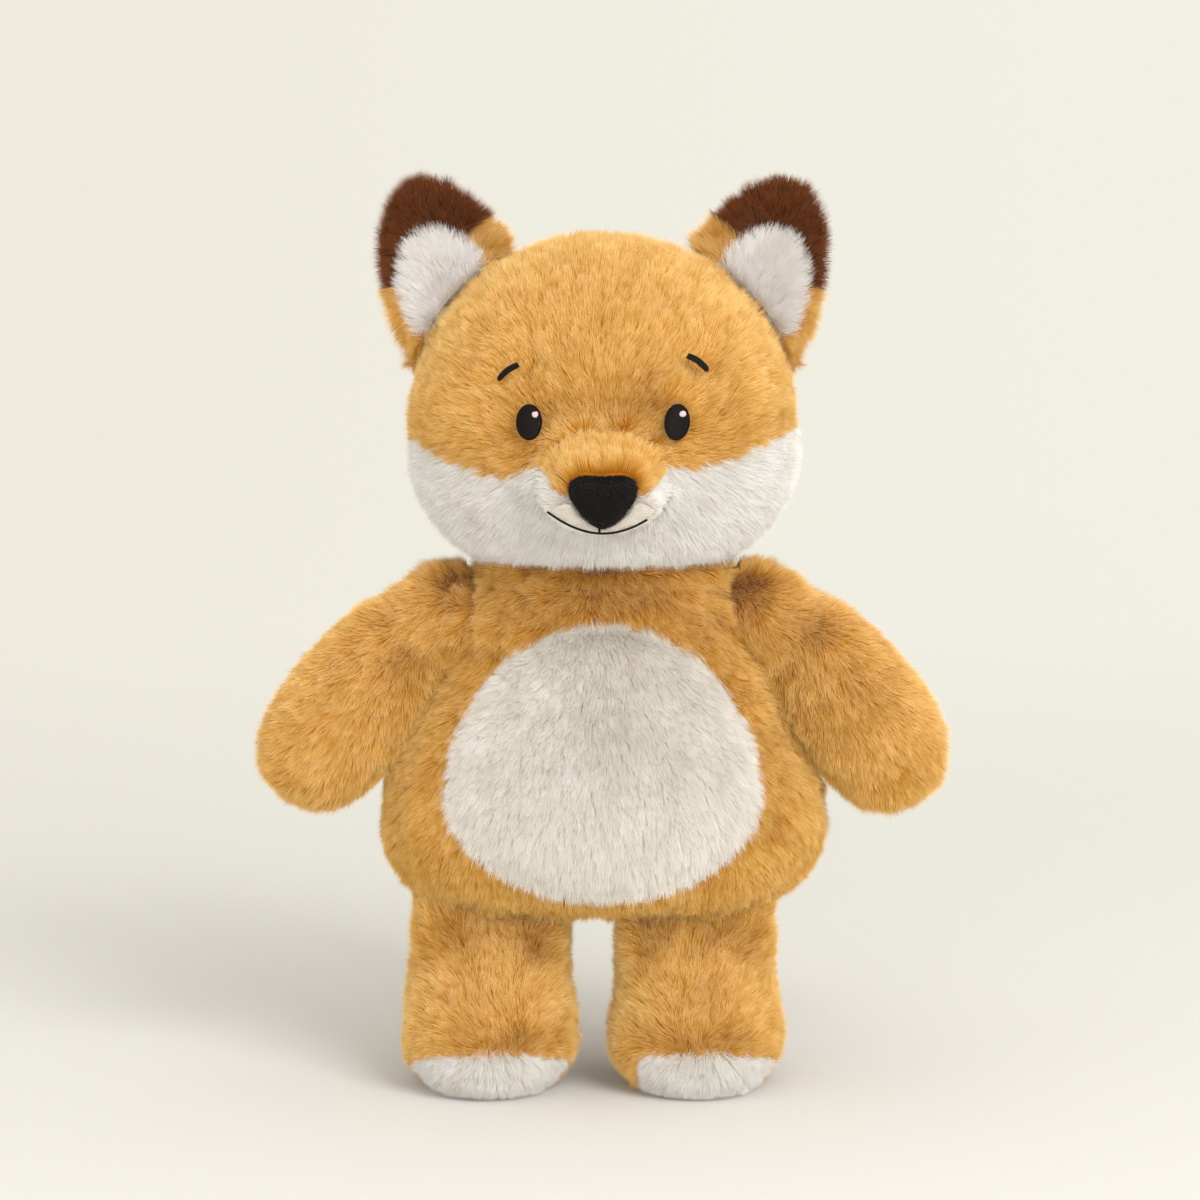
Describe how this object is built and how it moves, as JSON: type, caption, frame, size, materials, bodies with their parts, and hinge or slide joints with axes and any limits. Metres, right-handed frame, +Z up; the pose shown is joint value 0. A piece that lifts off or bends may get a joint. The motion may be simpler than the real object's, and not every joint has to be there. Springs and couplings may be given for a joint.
{
  "type": "plush fox",
  "caption": "Standing soft toy fox with a round head, stitched face, pale belly and toes, upright ears and a short bushy tail.",
  "frame": {"origin": "bottom centre of the toy's box, on the floor it stands on", "axes": "+Z up, the face looks towards -Y, and +X is the toy's own left side"},
  "size_m": [0.2544, 0.2264, 0.3335],
  "materials": {
    "orange_plush": "long plush pile",
    "white_plush": "long plush pile",
    "cream_plush": "long plush pile",
    "brown_plush": "long plush pile",
    "sole_plush": "short plush pile",
    "nose_plush": "short velour pile",
    "lip_plush": "short velour pile",
    "dark_thread": "satin stitch embroidery",
    "pale_thread": "satin stitch embroidery",
    "filling": "loose polyester fibre"
  },
  "bodies": {
    "torso": {"torso_front_panel": "orange_plush", "torso_back_panel": "orange_plush", "belly_panel": "cream_plush", "torso_stuffing": "filling"},
    "head": {"head_face_panel": "orange_plush", "head_back_panel": "orange_plush", "cheek_panel": "white_plush", "head_stuffing": "filling", "muzzle_bridge": "orange_plush", "muzzle_panel": "white_plush", "muzzle_lip": "lip_plush", "muzzle_stuffing": "filling", "nose": "nose_plush", "mouth_stitch": "dark_thread", "eye_left": "dark_thread", "eye_left_glint": "pale_thread", "eye_right": "dark_thread", "eye_right_glint": "pale_thread", "brow_left": "dark_thread", "brow_right": "dark_thread"},
    "ear_left": {"ear_left_back": "orange_plush", "ear_left_tip": "brown_plush", "ear_left_lining": "white_plush"},
    "ear_right": {"ear_right_back": "orange_plush", "ear_right_tip": "brown_plush", "ear_right_lining": "white_plush"},
    "arm_left": {"arm_left_front_panel": "orange_plush", "arm_left_back_panel": "orange_plush", "arm_left_stuffing": "filling"},
    "arm_right": {"arm_right_front_panel": "orange_plush", "arm_right_back_panel": "orange_plush", "arm_right_stuffing": "filling"},
    "leg_left": {"leg_left_outer_panel": "orange_plush", "leg_left_inner_panel": "orange_plush", "toe_cap_left": "white_plush", "sole_left": "sole_plush", "leg_left_stuffing": "filling"},
    "leg_right": {"leg_right_outer_panel": "orange_plush", "leg_right_inner_panel": "orange_plush", "toe_cap_right": "white_plush", "sole_right": "sole_plush", "leg_right_stuffing": "filling"},
    "tail": {"tail_skin": "orange_plush", "tail_tip": "white_plush", "tail_stuffing": "filling"}
  },
  "joints": [
    {"name": "head_turn", "type": "hinge", "parent": "torso", "child": "head", "pos_m": [0, -0.0298, 0.196], "axis": [0, 0, 1], "range_deg": [-35, 35], "stiffness_Nm_per_rad": 0.2},
    {"name": "arm_left_raise", "type": "hinge", "parent": "torso", "child": "arm_left", "pos_m": [0.057, -0.0338, 0.172], "axis": [0, -1, 0], "range_deg": [0, 60], "stiffness_Nm_per_rad": 0.04},
    {"name": "arm_right_raise", "type": "hinge", "parent": "torso", "child": "arm_right", "pos_m": [-0.057, -0.0338, 0.172], "axis": [0, 1, 0], "range_deg": [0, 60], "stiffness_Nm_per_rad": 0.04},
    {"name": "leg_left_swing", "type": "hinge", "parent": "torso", "child": "leg_left", "pos_m": [0.0343, -0.0398, 0.054], "axis": [-1, 0, 0], "range_deg": [-15, 28], "stiffness_Nm_per_rad": 1},
    {"name": "leg_right_swing", "type": "hinge", "parent": "torso", "child": "leg_right", "pos_m": [-0.0417, -0.0398, 0.054], "axis": [-1, 0, 0], "range_deg": [-15, 28], "stiffness_Nm_per_rad": 1},
    {"name": "ear_left_fold", "type": "hinge", "parent": "head", "child": "ear_left", "pos_m": [0.0535, -0.0278, 0.284], "axis": [-0.6334, 0, 0.7738], "range_deg": [-15, 15], "stiffness_Nm_per_rad": 0.02},
    {"name": "ear_right_fold", "type": "hinge", "parent": "head", "child": "ear_right", "pos_m": [-0.0535, -0.0278, 0.284], "axis": [0.6334, 0, 0.7738], "range_deg": [-15, 15], "stiffness_Nm_per_rad": 0.02},
    {"name": "tail_wag", "type": "hinge", "parent": "torso", "child": "tail", "pos_m": [0, 0.0182, 0.084], "axis": [0, 0, 1], "range_deg": [-20, 20], "stiffness_Nm_per_rad": 0.05}
  ]
}
